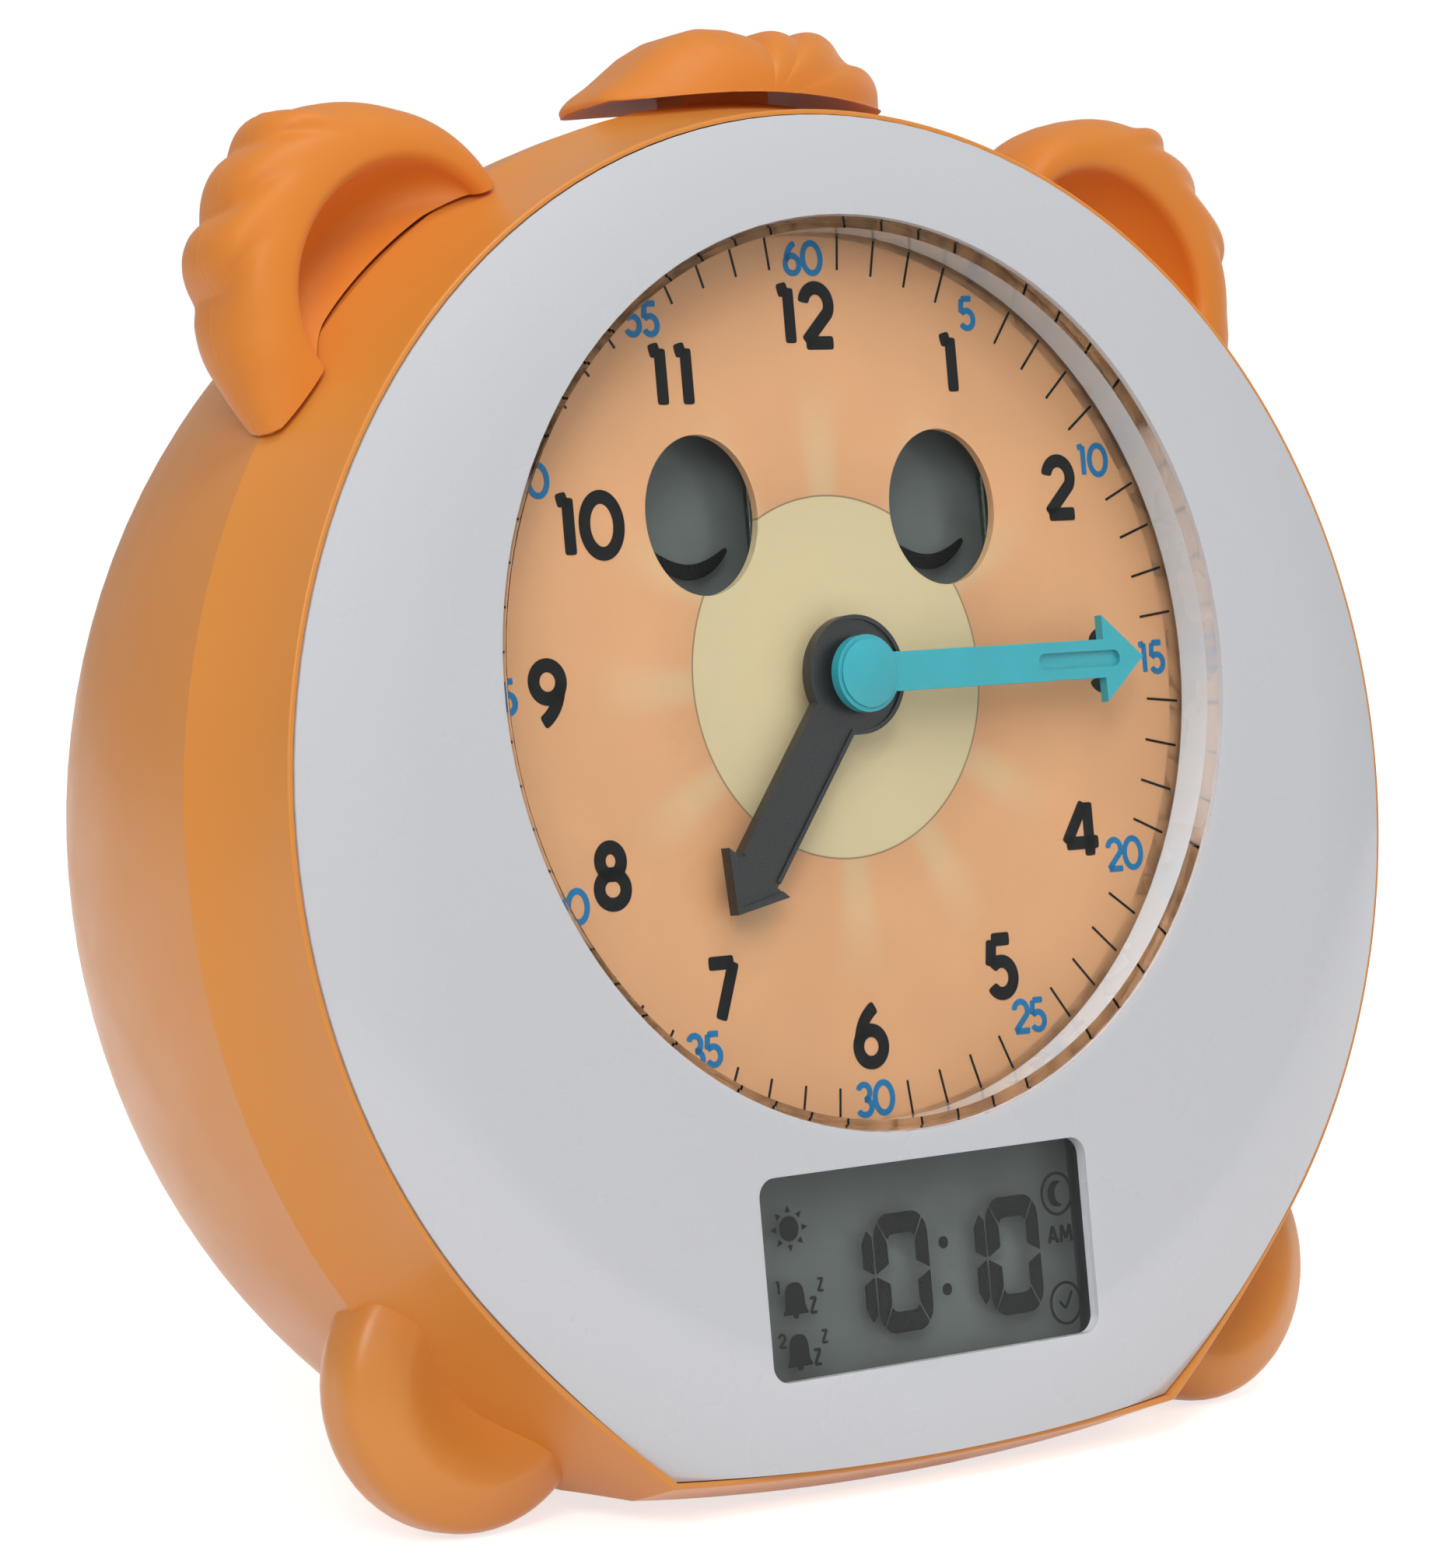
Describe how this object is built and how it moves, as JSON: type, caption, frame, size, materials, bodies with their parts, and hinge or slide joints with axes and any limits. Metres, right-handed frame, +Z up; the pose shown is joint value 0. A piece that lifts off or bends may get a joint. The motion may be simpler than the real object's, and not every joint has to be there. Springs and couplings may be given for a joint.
{
  "type": "alarm clock",
  "caption": "Children's table alarm clock with a hand dial, small displays, two soft ears, a snooze tuft and a night light behind its white front.",
  "frame": {"origin": "on the table, in the middle of the footprint", "axes": "+X to the right of someone who faces the dial, +Z up, the dial faces -Y and leans back 8.2 degrees"},
  "size_m": [0.192, 0.0973, 0.1907],
  "materials": {
    "housing": "moulded orange plastic, satin",
    "soft_orange": "soft-touch orange silicone, matt",
    "white_front": "milky white plastic that the night light shines through",
    "clear_pane": "clear moulded acrylic",
    "dial_print": "printed peach dial",
    "lcd_glass": "grey liquid crystal glass",
    "connector": "pink elastomer connector strip",
    "board": "green circuit board",
    "steel": "zinc-plated steel",
    "brass": "turned brass",
    "black_plastic": "black moulded plastic",
    "gear_plastic": "natural acetal",
    "magnet": "sintered magnet on a plastic pinion",
    "copper": "enamelled copper wire",
    "led": "warm white light-emitting diodes",
    "hour_paint": "dark grey painted aluminium",
    "minute_paint": "teal painted aluminium",
    "cell": "plain sleeved dry cells",
    "pad": "black rubber",
    "button_grey": "light grey rubber"
  },
  "bodies": {
    "clock_body": {"battery_cells": "cell", "battery_contacts": "steel", "bezel_screws": "steel", "board_screws": "steel", "button_board": "board", "button_board_screws": "steel", "button_switches": "black_plastic", "dial_lens": "clear_pane", "dial_plate": "dial_print", "display_board": "board", "display_lens": "clear_pane", "ear_left": "soft_orange", "ear_right": "soft_orange", "eye_display_connectors": "connector", "eye_display_left": "lcd_glass", "eye_display_right": "lcd_glass", "front_bezel": "white_front", "front_housing": "housing", "housing_screws": "steel", "hub_nut": "brass", "light_board": "board", "light_switch_body": "steel", "main_board": "board", "motor_coil": "copper", "motor_stator": "steel", "movement_case_front": "black_plastic", "movement_case_rear": "black_plastic", "movement_plate": "black_plastic", "night_light_leds": "led", "rear_housing": "housing", "rubber_pads": "pad", "snooze_springs": "steel", "snooze_switch": "black_plastic", "speaker": "black_plastic", "speaker_clamp": "black_plastic", "time_display": "lcd_glass", "time_display_connectors": "connector"},
    "minute_work": {"minute_arbor": "brass", "minute_hand": "minute_paint", "minute_cap": "minute_paint"},
    "hour_work": {"hour_wheel": "gear_plastic", "hour_hand": "hour_paint"},
    "motion_work": {"minute_wheel": "gear_plastic"},
    "step_work": {"step_wheel": "gear_plastic"},
    "motor_rotor": {"rotor": "magnet"},
    "setting_work": {"setting_shaft": "gear_plastic", "setting_knob": "button_grey"},
    "snooze": {"snooze_button": "soft_orange"},
    "light_switch": {"light_switch_knob": "button_grey"},
    "battery_cover": {"battery_door": "housing", "battery_door_screw": "steel"},
    "time_set_key": {"time_set_button": "button_grey"},
    "alarm_one_key": {"alarm_one_button": "button_grey"},
    "alarm_two_key": {"alarm_two_button": "button_grey"},
    "up_key": {"up_button": "button_grey"},
    "down_key": {"down_button": "button_grey"}
  },
  "joints": [
    {"name": "minute_hand_turn", "type": "hinge", "parent": "clock_body", "child": "minute_work", "pos_m": [0, -0.02642, 0.1049], "axis": [0, 0.9898, -0.1426], "continuous": true},
    {"name": "hour_hand_turn", "type": "hinge", "parent": "clock_body", "child": "hour_work", "pos_m": [0, -0.02642, 0.1049], "axis": [0, 0.9898, -0.1426], "continuous": true},
    {"name": "motion_wheel_turn", "type": "hinge", "parent": "clock_body", "child": "motion_work", "pos_m": [0, -0.02471, 0.11678], "axis": [0, 0.9898, -0.1426], "continuous": true},
    {"name": "step_wheel_turn", "type": "hinge", "parent": "clock_body", "child": "step_work", "pos_m": [0, -0.02856, 0.09005], "axis": [0, 0.9898, -0.1426], "continuous": true},
    {"name": "rotor_turn", "type": "hinge", "parent": "clock_body", "child": "motor_rotor", "pos_m": [-0.01175, -0.02917, 0.08582], "axis": [0, 0.9898, -0.1426], "continuous": true},
    {"name": "setting_knob_turn", "type": "hinge", "parent": "clock_body", "child": "setting_work", "pos_m": [0.01039, -0.02385, 0.12272], "axis": [0, 0.9898, -0.1426], "continuous": true},
    {"name": "snooze_press", "type": "slide", "parent": "clock_body", "child": "snooze", "axis": [0, -0.1426, -0.9898], "range_m": [0, 0.002], "stiffness_N_per_m": 400, "springref_m": -0.003, "deforming": ["snooze_springs"]},
    {"name": "time_set_key_press", "type": "slide", "parent": "clock_body", "child": "time_set_key", "axis": [0, -0.9898, 0.1426], "range_m": [0, 0.0007], "stiffness_N_per_m": 600, "springref_m": -0.0015},
    {"name": "alarm_one_key_press", "type": "slide", "parent": "clock_body", "child": "alarm_one_key", "axis": [0, -0.9898, 0.1426], "range_m": [0, 0.0007], "stiffness_N_per_m": 600, "springref_m": -0.0015},
    {"name": "alarm_two_key_press", "type": "slide", "parent": "clock_body", "child": "alarm_two_key", "axis": [0, -0.9898, 0.1426], "range_m": [0, 0.0007], "stiffness_N_per_m": 600, "springref_m": -0.0015},
    {"name": "up_key_press", "type": "slide", "parent": "clock_body", "child": "up_key", "axis": [0, -0.9898, 0.1426], "range_m": [0, 0.0007], "stiffness_N_per_m": 600, "springref_m": -0.0015},
    {"name": "down_key_press", "type": "slide", "parent": "clock_body", "child": "down_key", "axis": [0, -0.9898, 0.1426], "range_m": [0, 0.0007], "stiffness_N_per_m": 600, "springref_m": -0.0015},
    {"name": "light_switch_slide", "type": "slide", "parent": "clock_body", "child": "light_switch", "axis": [1, 0, 0], "range_m": [-0.003, 0.003]},
    {"name": "battery_door_lift", "type": "slide", "parent": "clock_body", "child": "battery_cover", "axis": [0, 0.9898, -0.1426], "range_m": [0, 0.012]}
  ],
  "couplings": [
    {"joint": "hour_hand_turn", "follows": "minute_hand_turn", "ratio": 0.083333},
    {"joint": "motion_wheel_turn", "follows": "minute_hand_turn", "ratio": -0.33333},
    {"joint": "step_wheel_turn", "follows": "minute_hand_turn", "ratio": -4},
    {"joint": "rotor_turn", "follows": "minute_hand_turn", "ratio": 16},
    {"joint": "setting_knob_turn", "follows": "minute_hand_turn", "ratio": 1}
  ]
}
